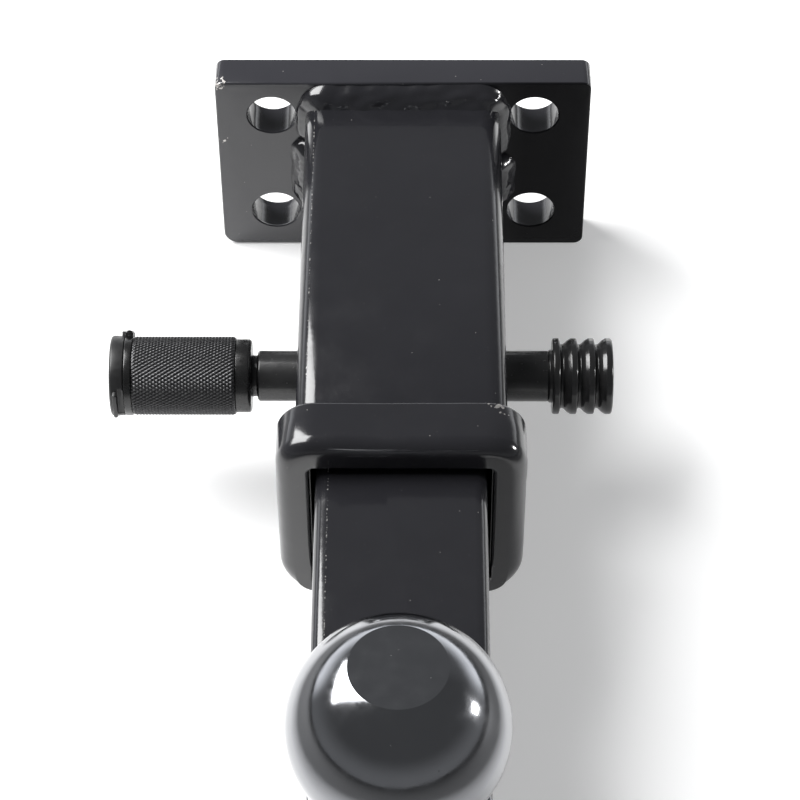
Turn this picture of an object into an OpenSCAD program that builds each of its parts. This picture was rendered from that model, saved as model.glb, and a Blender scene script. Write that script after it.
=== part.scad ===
// Locking trailer hitch: a plate-mounted receiver, a straight ball mount and a locking hitch pin.
// Origin: on the receiver tube's axis, at the mounting plate's back face. +Y points out of
// that back face, +Z is up,
// +X points towards the hitch pin's ribbed knob. All sizes are in millimetres.

/* [Mounting plate] */
// Width of the plate
plate_w = 122; // [114:1:140]
// Height of the plate
plate_h = 75.4; // [75:0.1:90]
// Thickness of the plate
plate_t = 11.5; // [9:0.1:16]
// Height of the plate's middle above the tube's axis
plate_rise = 0.5; // [0:0.1:2]
// Height of the bolt holes' middle above the tube's axis
bolt_rise = 1.5; // [0:0.1:3]
// Bolt hole spacing across the plate
bolt_dx = 85.725; // [84:0.1:90]
// Bolt hole spacing up the plate
bolt_dz = 44.45; // [40:0.1:50]
// Diameter of the bolt holes
bolt_d = 15.9; // [12:0.1:17]

/* [Receiver] */
// Outer side of the square receiver tube
tube_w = 63.5; // [63:0.1:64]
// Wall of the receiver tube
tube_wall = 4.76; // [4.5:0.01:5]
// Depth of the receiver from the plate's back to the mouth
receiver_len = 163; // [160:0.1:200]
// Outer side of the collar round the mouth
collar_w = 74.6; // [74:0.1:77]
// Length of the collar along the tube
collar_len = 18.2; // [17:0.1:24]
// Outer radius of the collar's two upper corners
collar_corner_r = 12; // [11.6:0.1:12.4]
// Outer radius of the collar's two lower corners
collar_low_r = 18; // [12:0.5:20]
// Softening of the collar's front outer edge
collar_front_r = 5.5; // [2:0.1:6]
// Softening of the collar's back outer edge
collar_back_r = 1.5; // [0.5:0.1:3]
// Leg of the weld beads
weld_leg = 6; // [4:0.5:6]
// Leg of the thinner bead that wraps the tube's corners
wrap_leg = 3.5; // [2.5:0.5:6]

/* [Ball mount] */
// Outer side of the square shank
shank_w = 50.8; // [50:0.1:51]
// Wall of the shank
shank_wall = 6.35; // [5:0.05:6.5]
// Corner radius of the shank
shank_corner_r = 4; // [3:0.5:5]
// How far the shank sits below the tube's axis
shank_drop = 0.5; // [0:0.1:0.6]
// Distance of the shank's free end in front of the ball's axis
shank_nose = 38; // [32:1:50]
// Diameter of the ball
ball_d = 58.74; // [50:0.01:60]
// Diameter of the flat on top of the ball
ball_flat_d = 25.8; // [20:0.1:30]
// Height of the ball's centre above the shank
ball_rise = 48.1; // [46:0.1:60]
// Distance of the ball's axis from the plate's back
ball_reach = 284.5; // [270:0.5:320]
// Diameter of the ball's stud
stud_d = 25.4; // [22:0.1:26]

/* [Hitch pin] */
// Diameter of the pin
pin_d = 15.875; // [15.5:0.005:16]
// Distance of the pin's axis from the plate's back
pin_reach = 103.2; // [100:0.1:110]
// Diameter of the pin holes in the receiver tube
pin_hole_d = 16.7; // [16.4:0.1:17]
// Diameter of the pin hole in the shank
shank_hole_d = 17.5; // [17.5:0.1:18]
// Distance from the middle to the pin's left shoulder
shoulder_x = 45; // [44:0.1:50]
// Distance from the middle to the knob
knob_x = 45.7; // [44:0.1:50]
// Diameter of the ribbed knob
knob_d = 23.8; // [22:0.1:26]

/* [Lock] */
// Diameter of the knurled barrel
barrel_d = 24.6; // [24:0.1:26]
// Length of the knurled barrel
barrel_len = 32.2; // [32:0.1:36]
// Diameter of the nose ring
nose_d = 23; // [22:0.1:24]
// Diameter of the dust lid
lid_d = 25.2; // [25:0.1:27]
// Thickness of the dust lid
lid_t = 4.3; // [4:0.1:5]
// Clocking of the lid's hinge about the pin's axis
lid_clock = -50; // [-90:1:90]

/* [Hidden] */
$fn = 64;
// Overlap used so that cuts pass right through a face
cut = 1;
// Corner radii of the plate: lower left, lower right, upper right, upper left
plate_corners = [5, 3, 3, 3];
black = "#1c1c1f";

// Receiver: the corner centres are shared by the collar and the tube, so their corners nest
corner_c = collar_w / 2 - collar_corner_r;
tube_corner_r = tube_w / 2 - corner_c;
tube_in_w = tube_w - 2 * tube_wall;
tube_in_r = 1.5;
collar_back = receiver_len - collar_len;
mouth_w = 54.4;
mouth_edge_r = 0.8;
collar_lip = 4;
seat_gap = 0.1;
tube_end = receiver_len - collar_lip;
weld_drop_left = 11;
weld_drop_right = 18;
side_bead_len = 29;
side_bead_z = -1;
collar_weld_leg = 4;

// Ball mount: heights are measured from the tube's axis
shank_in_w = shank_w - 2 * shank_wall;
shank_in_r = 1.5;
shank_top = shank_w / 2 - shank_drop;
shank_bottom = -shank_w / 2 - shank_drop;
shank_start = pin_reach - 36;
shank_end = ball_reach + shank_nose;
ball_z = shank_top + ball_rise;
ball_r = ball_d / 2;
ball_flat_z = sqrt(ball_r * ball_r - ball_flat_d * ball_flat_d / 4);
neck_r = 16.5;
neck_z = 24;
flange_d = 50;
flange_t = 9;
flange_flats = 44.5;
flange_edge = 1;
stud_hole_d = stud_d + 0.8;
sleeve_d = 36;
washer_d = 41;
washer_t = 6;
// Angle left open by the washer's split
washer_split = 9;
nut_flats = 38.1;
nut_t = 22.2;
nut_edge = 1.6;
stud_tail = 5;
stud_edge = 1.5;
plug_flange_w = 48;
plug_flange_t = 2.5;
plug_depth = 12;
plug_wall = 2.5;
plug_fit = 0.15;

// Hitch pin: stations along the pin's axis, to the left of the middle
neck_d = 12.9;
groove_x = 57;
groove_w = 3.6;
groove_d = 9;
pin_head_w = 3.4;
pin_edge = 0.8;
pin_end = groove_x + groove_w + pin_head_w;
spigot_d = 10;
spigot_len = 15;
knob_end_rib = 2.7;
knob_mid_rib = 1.8;
knob_groove_w = 3.6;
knob_groove_depth = 1.9;
// How far across the groove its steep wall, its floor and its first slope end
knob_groove_steps = [0.5, 1.2, 2.4];
knob_edge_r = 0.6;
knob_pitch = knob_mid_rib + knob_groove_w;
knob_len = 2 * knob_end_rib + 2 * knob_mid_rib + 3 * knob_groove_w;
knob_step_d = 16.6;
knob_step_w = 1.1;

// Lock: stations along the pin's axis, to the left of the middle
nose_x = 46.9;
nose_flange = 4.9;
nose_spigot = 2.1;
nose_bore_d = neck_d + 0.2;
barrel_x = nose_x + nose_flange;
barrel_end = barrel_x + barrel_len;
barrel_in_d = 20;
barrel_edge = 0.4;
seal_wire_r = 0.75;
seal_x = nose_x + 2.2;
seal_r = nose_bore_d / 2 + seal_wire_r - 0.05;
seal_room = 0.1;
house_d = barrel_in_d - 0.04;
house_x = barrel_x + nose_spigot + 0.2;
house_end = barrel_end - 1.4;
pin_pocket_d = neck_d + 0.3;
pin_pocket_end = pin_end + 1.2;
latch_x = groove_x + 0.3;
latch_t = 3;
latch_travel = 1.414;
latch_bore_d = neck_d + 0.4;
latch_w = 16;
latch_round_r = 9;
latch_round_z = -0.6;
latch_top = 8;
latch_bottom = -8.2;
latch_gap = 0.2;
arm_w = 6;
arm_z = 6.75;
yoke_x = 68.4;
yoke_t = 1.6;
yoke_w = 6.5;
yoke_bottom = -3.3;
peg_r = 1.1;
peg_throw = latch_travel / sqrt(2);
peg_room = 0.12;
clip_pocket_x = yoke_x + yoke_t + latch_gap;
clip_pocket_w = 1.2;
clip_d = 8.8;
clip_t = 0.6;
clip_neck_d = 4.6;
clip_x = clip_pocket_x + 0.3;
tail_d = 6;
house_wall_end = clip_pocket_x + clip_pocket_w + 1;
plug_d = 9.9;
plug_room = 0.1;
plug_x = house_wall_end + 0.1;
plug_end = house_end + 0.2;
key_w = 1.6;
key_h = 6;
key_end_wall = 1;
wafer_count = 5;
wafer_t = 0.8;
wafer_pitch = 1.6;
wafer_w = 3.6;
wafer_h = 8.6;
wafer_x = plug_x + 1.6;
wafer_window_w = 2.2;
wafer_window_h = 4.5;
wafer_room = 0.1;
seat_x = barrel_end;
seat_t = 2.4;
seat_d = 25;
seat_in_d = 18;
seat_end = seat_x + seat_t;
hinge_x = seat_end - 1.3;
hinge_z = 12.9;
hinge_r = 1.3;
hinge_pin_r = 0.6;
hinge_half = 4;
knuckle_half = 1.85;
knuckle_gap = 0.15;
knuckle_floor = 11.3;
hinge_pin_room = 0.05;
lid_x = seat_end + 0.1;
lid_end = lid_x + lid_t;
lid_edge_r = 1;
lid_boss_d = 17.2;
lid_boss_h = 1.4;
lid_recess_d = 15.2;
lid_recess = 2.4;
tab_w = 10;
tab_reach = 13.4;
tab_t = 1.3;
tab_x = lid_x + 1.9;
// Angle of the finger tab from the side opposite the hinge
tab_clock = 42;

// ---- Shapes ----

// Rectangle whose corners have their own radii: lower left, lower right, upper right, upper left
module soft_rect(x0, x1, y0, y1, r) {
    polygon([
        [x0 + r[0], y0], [x1 - r[1], y0], [x1, y0 + r[1]], [x1, y1 - r[2]],
        [x1 - r[2], y1], [x0 + r[3], y1], [x0, y1 - r[3]], [x0, y0 + r[0]]]);
    if (r[0] > 0) translate([x0 + r[0], y0 + r[0]]) circle(r[0]);
    if (r[1] > 0) translate([x1 - r[1], y0 + r[1]]) circle(r[1]);
    if (r[2] > 0) translate([x1 - r[2], y1 - r[2]]) circle(r[2]);
    if (r[3] > 0) translate([x0 + r[3], y1 - r[3]]) circle(r[3]);
}

// Square with equal round corners, centred
module soft_square(w, r) {
    soft_rect(-w / 2, w / 2, -w / 2, w / 2, [r, r, r, r]);
}

// Pushes an outline drawn in X and Z from one distance in front of the plate's back to another
module along_tube(near, far) {
    translate([0, -near, 0]) rotate([90, 0, 0]) linear_extrude(far - near) children();
}

// Puts a shape drawn along Z on the pin's axis, with Z pointing left, away from the knob
module on_pin() {
    translate([0, -pin_reach, 0]) rotate([0, -90, 0]) children();
}

// Round bar on the pin's axis between two stations to the left of the middle
module pin_bar(d, x0, x1) {
    on_pin() translate([0, 0, x0]) cylinder(d = d, h = x1 - x0);
}

// Block on the pin's axis between two stations to the left of the middle
module pin_block(x0, x1, y0, y1, z0, z1) {
    translate([-x1, -pin_reach + y0, z0]) cube([x1 - x0, y1 - y0, z1 - z0]);
}

// Vertical round bar at the ball's axis
module ball_bar(d, z0, z1) {
    translate([0, -ball_reach, z0]) cylinder(d = d, h = z1 - z0);
}

// Turns the lid and its hinge to their clocking about the pin's axis
module lid_clocked() {
    translate([0, -pin_reach, 0]) rotate([lid_clock, 0, 0]) translate([0, pin_reach, 0]) children();
}

// Round bar along the lid's hinge
module hinge_bar(r, half) {
    translate([-hinge_x, -pin_reach + half, hinge_z]) rotate([90, 0, 0]) cylinder(r = r, h = 2 * half);
}

// ---- Receiver ----

module mounting_plate() {
    color(black) difference() {
        translate([0, 0, plate_rise]) along_tube(0, plate_t)
            soft_rect(-plate_w / 2, plate_w / 2, -plate_h / 2, plate_h / 2, plate_corners);
        for (x = [-1, 1], z = [-1, 1])
            translate([x * bolt_dx / 2, cut, bolt_rise + z * bolt_dz / 2])
                rotate([90, 0, 0]) cylinder(d = bolt_d, h = plate_t + 2 * cut);
    }
}

module receiver_tube() {
    color(black) difference() {
        along_tube(plate_t, tube_end) difference() {
            soft_square(tube_w, tube_corner_r);
            soft_square(tube_in_w, tube_in_r);
        }
        pin_bar(pin_hole_d, -tube_w / 2 - cut, tube_w / 2 + cut);
    }
}

// Cross-section of a bead: one leg on the tube, one on the plate, and a slightly full face.
// X is the distance out from the tube's face and Y is the distance in front of the plate.
module bead(leg) {
    polygon([[0, 0], [leg, 0], [0.6 * leg, 0.6 * leg], [0, leg]]);
}

// Bead round one quarter of the tube's corner; the corner is chosen by sign and quarter turns
module corner_bead(x, z, turn) {
    translate([x * corner_c, -plate_t, z * corner_c]) rotate([90, turn, 0])
        rotate_extrude(angle = 90) translate([tube_corner_r, 0]) bead(wrap_leg);
}

// Straight bead beside the tube, on the side given by sign, between two heights
module side_bead(x, z0, z1, leg) {
    translate([x * tube_w / 2, -plate_t, z0]) rotate([0, 0, x > 0 ? 0 : 180])
        mirror([0, x > 0 ? 1 : 0, 0]) linear_extrude(z1 - z0) bead(leg);
}

// Straight bead over or under the tube, between its corners
module level_bead(z) {
    translate([-corner_c, -plate_t, z * tube_w / 2]) rotate([90, 0, 90]) mirror([1, 0, 0])
        linear_extrude(2 * corner_c) mirror([0, z > 0 ? 0 : 1, 0]) bead(weld_leg);
}

module top_weld() {
    color(black) {
        level_bead(1);
        corner_bead(1, 1, 0);
        corner_bead(-1, 1, -90);
        side_bead(-1, corner_c - weld_drop_left, corner_c, wrap_leg);
        side_bead(1, corner_c - weld_drop_right, corner_c, wrap_leg);
    }
}

module side_welds() {
    color(black) {
        side_bead(-1, side_bead_z - side_bead_len / 2, side_bead_z + side_bead_len / 2, weld_leg);
        side_bead(1, side_bead_z - side_bead_len / 2, side_bead_z + side_bead_len / 4, weld_leg);
    }
}

module under_weld() {
    color(black) level_bead(-1);
}

// Wall of the collar, cut along the tube: X is measured from the corner's centre, Y from the back
module collar_wall() {
    soft_rect(mouth_w / 2 - corner_c, collar_corner_r, 0, collar_len,
        [0, collar_back_r, collar_front_r, mouth_edge_r]);
}

// What is ground off one of the collar's lower corners, on the side given by sign
module lower_corner_cut(x) {
    centre = collar_w / 2 - collar_low_r;
    along_tube(collar_back - cut, receiver_len + cut) difference() {
        translate([x > 0 ? centre : -collar_w / 2 - cut, -collar_w / 2 - cut]) square(collar_low_r + cut);
        translate([x * centre, -centre]) circle(collar_low_r);
    }
}

module mouth_collar() {
    color(black) difference() {
        translate([0, -collar_back, 0]) rotate([90, 0, 0])
            for (turn = [0:90:270]) rotate([0, 0, turn]) {
                translate([corner_c, corner_c, 0]) rotate_extrude(angle = 90) collar_wall();
                translate([corner_c, corner_c, 0]) rotate([90, 0, 0])
                    linear_extrude(2 * corner_c) collar_wall();
            }
        along_tube(collar_back - cut, tube_end)
            soft_square(tube_w + 2 * seat_gap, tube_corner_r + seat_gap);
        for (x = [-1, 1]) lower_corner_cut(x);
    }
}

module collar_weld() {
    color(black) translate([-corner_c, -collar_back, -tube_w / 2]) rotate([90, 0, 90])
        linear_extrude(2 * corner_c)
            polygon([[0, 0], [collar_weld_leg, 0], [0, -collar_weld_leg]]);
}

// ---- Ball mount ----

module shank() {
    color(black) difference() {
        translate([0, 0, -shank_drop]) along_tube(shank_start, shank_end) difference() {
            soft_square(shank_w, shank_corner_r);
            soft_square(shank_in_w, shank_in_r);
        }
        translate([0, 0, -shank_drop]) pin_bar(shank_hole_d, -shank_w, shank_w);
        ball_bar(stud_hole_d, shank_bottom - cut, shank_top + cut);
    }
}

module shank_end_plug() {
    color("#151515") translate([0, 0, -shank_drop]) {
        along_tube(shank_end, shank_end + plug_flange_t) soft_square(plug_flange_w, shank_corner_r);
        along_tube(shank_end - plug_depth, shank_end) difference() {
            soft_square(shank_in_w - 2 * plug_fit, shank_in_r);
            soft_square(shank_in_w - 2 * plug_fit - 2 * plug_wall, shank_in_r);
        }
    }
}

module stud_sleeve() {
    color("#6d6f73") difference() {
        ball_bar(sleeve_d, shank_bottom + shank_wall, shank_top - shank_wall);
        ball_bar(stud_hole_d, shank_bottom, shank_top);
    }
}

module hitch_ball() {
    stud_end = shank_bottom - washer_t - nut_t - stud_tail;
    color("#3a3c40") {
        translate([0, -ball_reach, ball_z]) difference() {
            sphere(ball_r, $fn = 96);
            translate([-ball_r, -ball_r, ball_flat_z]) cube(2 * ball_r);
        }
        translate([0, -ball_reach, shank_top]) {
            intersection() {
                rotate_extrude() polygon([
                    [0, 0], [flange_d / 2 - flange_edge, 0], [flange_d / 2, flange_edge],
                    [flange_d / 2, flange_t - flange_edge], [flange_d / 2 - flange_edge, flange_t],
                    [0, flange_t]]);
                translate([-flange_d, -flange_flats / 2, 0]) cube([2 * flange_d, flange_flats, flange_t]);
            }
            rotate_extrude() polygon([
                [0, flange_t], [neck_r + 3, flange_t], [neck_r, flange_t + 3], [neck_r, neck_z],
                [0, neck_z]]);
        }
        translate([0, -ball_reach, 0]) rotate_extrude() polygon([
            [0, stud_end], [stud_d / 2 - stud_edge, stud_end], [stud_d / 2, stud_end + stud_edge],
            [stud_d / 2, shank_top], [0, shank_top]]);
    }
}

module spring_washer() {
    color("#7b7d80") translate([0, -ball_reach, shank_bottom - washer_t])
        rotate_extrude(angle = 360 - washer_split)
            translate([stud_hole_d / 2, 0]) square([(washer_d - stud_hole_d) / 2, washer_t]);
}

module ball_nut() {
    corner_r = nut_flats / sqrt(3);
    color("#7b7d80") translate([0, -ball_reach, shank_bottom - washer_t - nut_t]) difference() {
        intersection() {
            cylinder(r = corner_r, h = nut_t, $fn = 6);
            rotate_extrude() polygon([
                [0, 0], [corner_r - nut_edge, 0], [corner_r, nut_edge],
                [corner_r, nut_t - nut_edge], [corner_r - nut_edge, nut_t], [0, nut_t]]);
        }
        translate([0, 0, -cut]) cylinder(d = stud_d + 0.1, h = nut_t + 2 * cut);
    }
}

// ---- Hitch pin ----

module hitch_pin() {
    color(black) on_pin() rotate_extrude() polygon([
        [0, -knob_x - spigot_len], [spigot_d / 2, -knob_x - spigot_len], [spigot_d / 2, -knob_x],
        [pin_d / 2, -knob_x], [pin_d / 2, shoulder_x - pin_edge / 2],
        [pin_d / 2 - pin_edge / 2, shoulder_x], [neck_d / 2, shoulder_x],
        [neck_d / 2, groove_x], [groove_d / 2, groove_x],
        [groove_d / 2, groove_x + groove_w], [neck_d / 2, groove_x + groove_w],
        [neck_d / 2, pin_end - pin_edge], [neck_d / 2 - pin_edge, pin_end], [0, pin_end]]);
}

// Finger groove in the knob: a steep wall towards the tube and a long slope away from it
module knob_groove() {
    floor_r = knob_d / 2 - knob_groove_depth;
    slope_r = knob_d / 2 - knob_groove_depth / 3;
    polygon([[knob_d / 2 + cut, 0], [knob_d / 2, 0], [floor_r, knob_groove_steps[0]],
        [floor_r, knob_groove_steps[1]], [slope_r, knob_groove_steps[2]],
        [knob_d / 2, knob_groove_w], [knob_d / 2 + cut, knob_groove_w]]);
}

module ribbed_knob() {
    color(black) on_pin() translate([0, 0, -knob_x]) mirror([0, 0, 1]) rotate_extrude() difference() {
        union() {
            soft_rect(0, knob_d / 2, knob_step_w, knob_len, [0, knob_edge_r, knob_edge_r, 0]);
            square([knob_step_d / 2, knob_step_w]);
        }
        translate([0, -cut]) square([spigot_d / 2 + 0.01, spigot_len + 0.2 + cut]);
        for (i = [0:2]) translate([0, knob_end_rib + knob_step_w / 2 + i * knob_pitch]) knob_groove();
    }
}

// ---- Lock ----

module lock_barrel() {
    color(black) on_pin() translate([0, 0, barrel_x]) rotate_extrude() polygon([
        [barrel_in_d / 2, 0], [barrel_d / 2 - barrel_edge, 0], [barrel_d / 2, barrel_edge],
        [barrel_d / 2, barrel_len - barrel_edge], [barrel_d / 2 - barrel_edge, barrel_len],
        [barrel_in_d / 2, barrel_len]]);
}

module nose_ring() {
    color(black) difference() {
        union() {
            pin_bar(nose_d, nose_x, barrel_x);
            pin_bar(house_d, barrel_x, barrel_x + nose_spigot);
        }
        pin_bar(nose_bore_d, nose_x - cut, barrel_x + nose_spigot + cut);
        pin_bar(2 * (seal_r + seal_wire_r) + seal_room, seal_x - seal_wire_r - seal_room,
            seal_x + seal_wire_r + seal_room);
    }
}

module nose_seal() {
    color("#0c0c0c") on_pin() translate([0, 0, seal_x]) rotate_extrude()
        translate([seal_r, 0]) circle(seal_wire_r, $fn = 24);
}

// Space swept by the latch slide, cut out of the housing
module latch_room() {
    pin_block(latch_x - latch_gap, latch_x + latch_t + latch_gap,
        -latch_w / 2 - latch_gap, latch_w / 2 + latch_gap, -barrel_in_d / 2, barrel_in_d / 2);
    pin_block(latch_x, yoke_x + latch_gap, -arm_w / 2 - latch_gap, arm_w / 2 + latch_gap,
        arm_z - latch_gap, barrel_in_d / 2);
    pin_block(yoke_x - latch_gap, yoke_x + yoke_t + latch_gap,
        -yoke_w / 2 - latch_gap, yoke_w / 2 + latch_gap, yoke_bottom - latch_gap, barrel_in_d / 2);
}

module lock_housing() {
    color("#8d8f94") difference() {
        pin_bar(house_d, house_x, house_end);
        pin_bar(pin_pocket_d, house_x - cut, pin_pocket_end);
        latch_room();
        pin_bar(clip_d + 2 * latch_gap, clip_pocket_x - cut, clip_pocket_x + clip_pocket_w);
        pin_bar(tail_d + 2 * plug_room, clip_pocket_x, plug_x + cut);
        pin_bar(plug_d + 2 * plug_room, house_wall_end, house_end + cut);
    }
}

module latch_slide() {
    peg_z = -peg_throw / sqrt(2);
    color("#a3a5a8") {
        intersection() {
            difference() {
                pin_block(latch_x, latch_x + latch_t, -latch_w / 2, latch_w / 2, latch_bottom, latch_top);
                pin_bar(latch_bore_d, latch_x - cut, latch_x + latch_t + cut);
            }
            translate([0, 0, latch_round_z]) pin_bar(2 * latch_round_r, latch_x, latch_x + latch_t);
        }
        pin_block(latch_x + latch_t / 2, yoke_x + yoke_t, -arm_w / 2, arm_w / 2, arm_z, latch_top);
        difference() {
            pin_block(yoke_x, yoke_x + yoke_t, -yoke_w / 2, yoke_w / 2, yoke_bottom, latch_top);
            pin_block(yoke_x - cut, yoke_x + yoke_t + cut, -peg_r + peg_room,
                peg_throw + peg_r + 2 * peg_room,
                peg_z - peg_r - peg_room, peg_z + peg_r + peg_room);
        }
    }
}

module key_plug() {
    color("#c9b27a") difference() {
        union() {
            pin_bar(plug_d, plug_x, plug_end);
            pin_bar(tail_d, clip_pocket_x + 0.1, plug_x);
            translate([0, peg_throw / sqrt(2), -peg_throw / sqrt(2)])
                pin_bar(2 * peg_r, yoke_x - 0.1, clip_pocket_x + 0.1);
        }
        difference() {
            pin_bar(tail_d + cut, clip_x - 0.05, clip_x + clip_t + 0.05);
            pin_bar(clip_neck_d, clip_x - cut, clip_x + clip_t + cut);
        }
        pin_block(plug_x + key_end_wall, plug_end + cut, -key_w / 2, key_w / 2, -key_h / 2, key_h / 2);
        for (i = [0:wafer_count - 1])
            pin_block(wafer_x + i * wafer_pitch - wafer_room / 2,
                wafer_x + i * wafer_pitch + wafer_t + wafer_room / 2,
                -wafer_w / 2 - wafer_room, wafer_w / 2 + wafer_room, -plug_d / 2, plug_d / 2);
    }
}

module wafer_tumblers() {
    color("#c9b27a") for (i = [0:wafer_count - 1]) {
        x = wafer_x + i * wafer_pitch;
        difference() {
            pin_block(x, x + wafer_t, -wafer_w / 2, wafer_w / 2, -wafer_h / 2, wafer_h / 2);
            pin_block(x - cut, x + wafer_t + cut, -wafer_window_w / 2, wafer_window_w / 2,
                -wafer_window_h / 2, wafer_window_h / 2);
        }
    }
}

module plug_clip() {
    color("#9a9ca0") difference() {
        pin_bar(clip_d, clip_x, clip_x + clip_t);
        pin_bar(clip_neck_d + 0.02, clip_x - cut, clip_x + clip_t + cut);
        pin_block(clip_x - cut, clip_x + clip_t + cut, 0, clip_d, -clip_neck_d / 3, clip_neck_d / 3);
    }
}

module cap_seat() {
    color(black) lid_clocked() difference() {
        union() {
            pin_bar(seat_d, seat_x, seat_end);
            pin_bar(house_d, house_end + 0.1, seat_x);
            hinge_bar(hinge_r, hinge_half);
            pin_block(hinge_x - hinge_r, hinge_x + hinge_r, -hinge_half, hinge_half, knuckle_floor, hinge_z);
        }
        pin_bar(seat_in_d, house_end - cut, seat_end + cut);
        pin_block(seat_x - cut, seat_end + cut, -knuckle_half - knuckle_gap, knuckle_half + knuckle_gap,
            knuckle_floor, hinge_z + hinge_r + cut);
        hinge_bar(hinge_pin_r, hinge_half + cut);
    }
}

module lid_hinge_pin() {
    color("#9a9ca0") lid_clocked() hinge_bar(hinge_pin_r, hinge_half);
}

module dust_lid() {
    color("#161618") lid_clocked() difference() {
        union() {
            on_pin() translate([0, 0, lid_x]) rotate_extrude()
                soft_rect(0, lid_d / 2, 0, lid_t, [0, 0, lid_edge_r, 0]);
            pin_bar(lid_boss_d, lid_x - lid_boss_h, lid_x);
            hinge_bar(hinge_r, knuckle_half);
            pin_block(hinge_x, lid_x + cut, -knuckle_half, knuckle_half, hinge_z - 1, hinge_z + 1);
            translate([0, -pin_reach, 0]) rotate([-tab_clock, 0, 0]) translate([0, pin_reach, 0])
                pin_block(tab_x, tab_x + tab_t, -tab_w / 2, tab_w / 2, -tab_reach, -lid_d / 2 + 2 * cut);
        }
        pin_bar(lid_recess_d, lid_x - lid_boss_h - cut, lid_x + lid_recess);
        hinge_bar(hinge_pin_r + hinge_pin_room, knuckle_half + cut);
    }
}

mounting_plate();
receiver_tube();
top_weld();
side_welds();
under_weld();
mouth_collar();
collar_weld();
shank();
shank_end_plug();
stud_sleeve();
hitch_ball();
spring_washer();
ball_nut();
hitch_pin();
ribbed_knob();
lock_barrel();
nose_ring();
nose_seal();
lock_housing();
latch_slide();
key_plug();
wafer_tumblers();
plug_clip();
cap_seat();
lid_hinge_pin();
dust_lid();
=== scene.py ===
"""Looks of the locking trailer hitch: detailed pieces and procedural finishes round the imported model."""

import math

import bmesh
import bpy
from mathutils import Matrix, Vector, noise


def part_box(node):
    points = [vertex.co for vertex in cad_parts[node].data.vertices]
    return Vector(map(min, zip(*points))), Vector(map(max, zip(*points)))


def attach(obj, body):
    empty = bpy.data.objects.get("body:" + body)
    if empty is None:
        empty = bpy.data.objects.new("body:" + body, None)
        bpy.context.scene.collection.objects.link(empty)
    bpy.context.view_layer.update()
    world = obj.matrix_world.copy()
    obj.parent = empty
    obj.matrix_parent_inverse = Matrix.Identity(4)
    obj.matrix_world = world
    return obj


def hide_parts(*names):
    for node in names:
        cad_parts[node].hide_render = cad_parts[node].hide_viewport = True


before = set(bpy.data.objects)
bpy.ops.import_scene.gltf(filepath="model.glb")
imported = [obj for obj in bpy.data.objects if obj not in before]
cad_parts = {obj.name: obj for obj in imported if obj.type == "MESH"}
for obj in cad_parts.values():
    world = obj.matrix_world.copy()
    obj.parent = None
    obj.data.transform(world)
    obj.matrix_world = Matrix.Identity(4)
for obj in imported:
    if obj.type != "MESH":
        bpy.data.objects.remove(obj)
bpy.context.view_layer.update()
mm = 0.001


# ---- Camera ----

def make_camera():
    """A long lens from the front and above, as the object is seen at rest."""
    distance = 0.95
    azimuth, elevation, roll = (math.radians(a) for a in (0.48, 49.78, -0.3))
    target = Vector((-0.62, -113.05, 0)) * mm
    back = Vector((math.sin(azimuth) * math.cos(elevation), -math.cos(azimuth) * math.cos(elevation),
                   math.sin(elevation)))
    right = Vector((math.cos(azimuth), math.sin(azimuth), 0))
    up = back.cross(right)
    side = right * math.cos(roll) + up * math.sin(roll)
    top = up * math.cos(roll) - right * math.sin(roll)
    data = bpy.data.cameras.new("camera")
    data.sensor_width = 36
    data.lens = 137.5
    data.clip_start = 0.05
    camera = bpy.data.objects.new("camera", data)
    bpy.context.collection.objects.link(camera)
    turn = Matrix((side, top, back)).transposed().to_4x4()
    camera.matrix_world = Matrix.Translation(target + back * distance) @ turn
    bpy.context.scene.camera = camera


make_camera()


# ---- Sizes, from the frame ----

class Span:
    """A CAD node's box at rest, in metres."""

    def __init__(self, node):
        self.low, self.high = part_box(node)
        self.size = self.high - self.low
        self.mid = (self.low + self.high) / 2


plate = Span("mounting_plate")
tube = Span("receiver_tube")
collar = Span("mouth_collar")
shank = Span("shank")
end_plug = Span("shank_end_plug")
ball = Span("hitch_ball")
washer = Span("spring_washer")
nut = Span("ball_nut")
pin = Span("hitch_pin")
knob = Span("ribbed_knob")
barrel = Span("lock_barrel")
nose = Span("nose_ring")
seat = Span("cap_seat")
hinge = Span("lid_hinge_pin")
lid = Span("dust_lid")


# ---- Sizes that the boxes alone do not give ----

# Plate and receiver
BOLT_SPREAD_X, BOLT_SPREAD_Z = 85.725 * mm, 44.45 * mm
BOLT_RISE = 1.5 * mm
BOLT_HOLE_R = 7.95 * mm
TUBE_CORNER, TUBE_WALL, INNER_CORNER = 6.45 * mm, 4.76 * mm, 1.5 * mm
TUBE_HOLE_R = 8.35 * mm
WELD_LEG, WRAP_LEG = 6 * mm, 3.5 * mm
LEFT_DROP, RIGHT_DROP = 11 * mm, 18 * mm
MOUTH_HALF, COLLAR_LOW_R = 27.2 * mm, 18 * mm
# Lumps and dents left by hand grinding: place across, along and up the collar, then radius and height
COLLAR_LUMPS = (
    (-0.82, 0.52, 0.9, 6 * mm, 0.75 * mm), (0.84, 0.6, 0.88, 5 * mm, 0.6 * mm),
    (-0.93, 0.12, 0.72, 3 * mm, -0.5 * mm), (-0.6, 0.2, 0.98, 5 * mm, 0.35 * mm),
    (0.55, 0.75, 1.0, 7 * mm, 0.3 * mm), (0.95, 0.2, 0.6, 4 * mm, 0.35 * mm))

# Ball mount
SHANK_CORNER, SHANK_WALL = 4 * mm, 6.35 * mm
SHANK_HOLE_R = 8.75 * mm
STUD_R, STUD_ROOM = 12.7 * mm, 0.4 * mm
THREAD_PITCH = 1.8 * mm
BALL_FLAT_R = 12.9 * mm
WAIST_R = 16.5 * mm
FLANGE_R, FLANGE_T, FLAT_HALF = 25 * mm, 9 * mm, 22.25 * mm

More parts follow.
